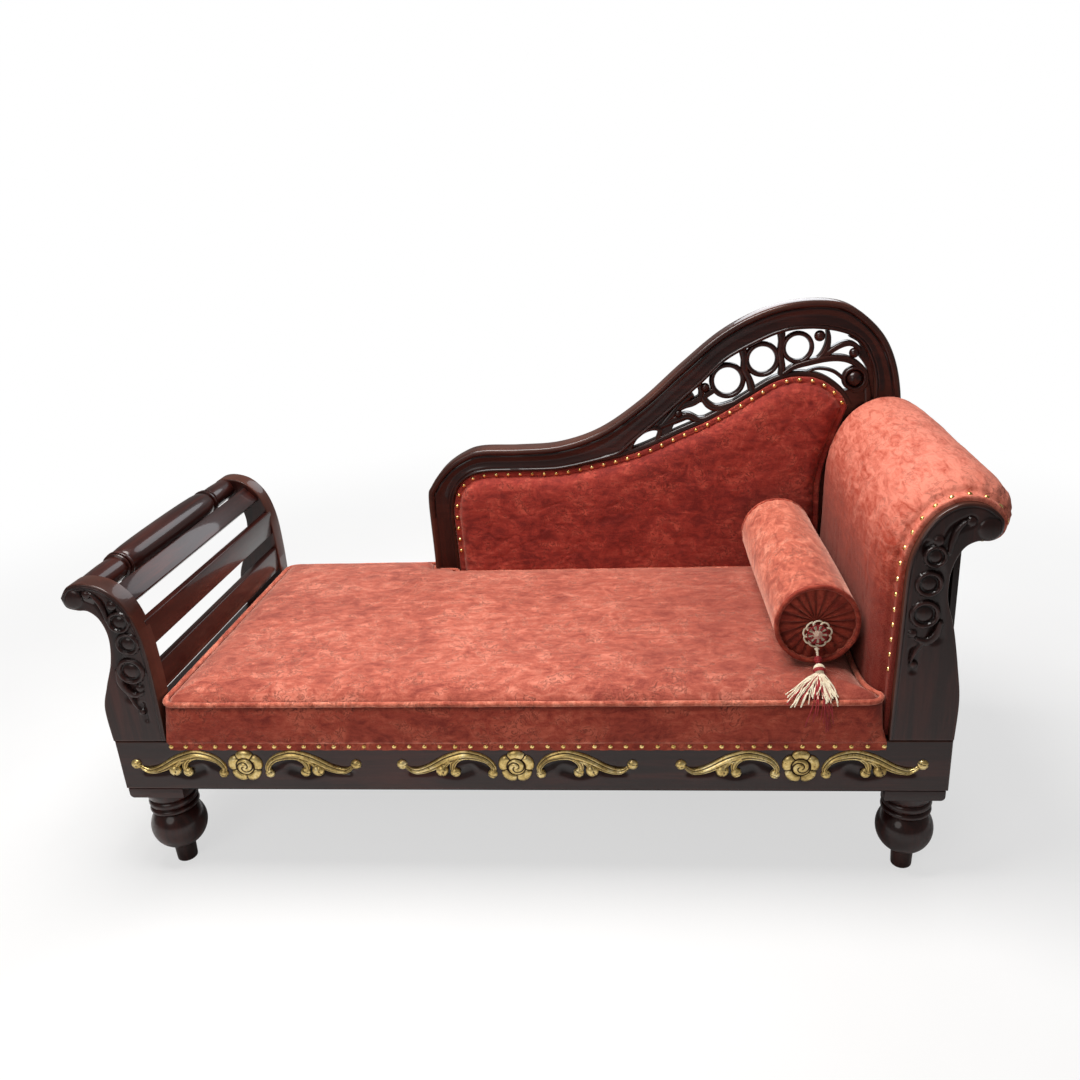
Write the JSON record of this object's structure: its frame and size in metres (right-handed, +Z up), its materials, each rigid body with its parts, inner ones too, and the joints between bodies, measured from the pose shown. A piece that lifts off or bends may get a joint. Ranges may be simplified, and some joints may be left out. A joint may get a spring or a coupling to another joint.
{
  "type": "fainting couch",
  "caption": "Long couch on turned legs with a raised rolled head end, a low slatted foot arm, a sweeping carved back and a loose bolster, for one person to recline.",
  "frame": {"origin": "on the floor under the middle of the couch's overall box", "axes": "+X from the foot end to the raised head end, +Y from the front to the back, +Z up"},
  "size_m": [1.7173, 0.709, 1.0291],
  "materials": {
    "dark_wood": "dark walnut stain under gloss lacquer",
    "inner_wood": "plain unfinished wood and ply",
    "steel_bolt": "zinc plated",
    "brass_nail": "domed and polished",
    "velvet": "crushed velvet",
    "padding": "soft upholstery filling",
    "gilding": "old gold over carving",
    "black_cloth": "black dust cloth",
    "tassel_yarn": "cream and crimson yarn"
  },
  "bodies": {
    "frame": {"front_rail": "dark_wood", "back_rail": "dark_wood", "end_rail_foot": "dark_wood", "end_rail_head": "dark_wood", "plinth_blocks": "dark_wood", "leg_front_foot": "dark_wood", "leg_front_head": "dark_wood", "leg_back_foot": "dark_wood", "leg_back_head": "dark_wood", "foot_panel_front": "dark_wood", "foot_panel_back": "dark_wood", "foot_slat_top": "dark_wood", "foot_slat_upper": "dark_wood", "foot_slat_lower": "dark_wood", "foot_slat_base": "dark_wood", "foot_turned_rail": "dark_wood", "head_panel_front": "dark_wood", "head_outer_board": "dark_wood", "back_left_stile": "dark_wood", "back_right_stile": "dark_wood", "back_bottom_rail": "dark_wood", "back_crest_rail": "dark_wood", "back_fretwork": "dark_wood", "corner_blocks": "inner_wood", "ledger_strips": "inner_wood", "seat_slats": "inner_wood", "seat_deck": "inner_wood", "head_rear_former": "inner_wood", "head_staves": "inner_wood", "back_board": "inner_wood", "frame_dowels": "inner_wood", "leg_bolts": "steel_bolt", "seat_nails": "brass_nail", "head_nails": "brass_nail", "back_nails": "brass_nail", "seat_cover": "velvet", "seat_border": "velvet", "seat_piping": "velvet", "head_cover": "velvet", "back_cover": "velvet", "back_rear_panel": "velvet", "seat_foam": "padding", "head_foam": "padding", "back_foam": "padding", "gilt_carving_foot": "gilding", "gilt_carving_middle": "gilding", "gilt_carving_head": "gilding", "dust_cover": "black_cloth"},
    "bolster": {"bolster_core": "padding", "bolster_cover": "velvet", "bolster_end_front": "velvet", "bolster_end_rear": "velvet", "bolster_piping_front": "velvet", "bolster_piping_rear": "velvet", "bolster_rosette": "tassel_yarn"},
    "tassel": {"tassel_stem": "tassel_yarn", "tassel_bead": "tassel_yarn", "tassel_head": "tassel_yarn", "tassel_skirt": "tassel_yarn"}
  },
  "joints": [
    {"name": "bolster_lift", "type": "slide", "parent": "frame", "child": "bolster", "axis": [0, 0, 1], "range_m": [0, 0.4]},
    {"name": "tassel_swing", "type": "hinge", "parent": "bolster", "child": "tassel", "pos_m": [0.5359, -0.25287, 0.4647], "axis": [-1, 0, 0], "range_deg": [0, 60]}
  ]
}
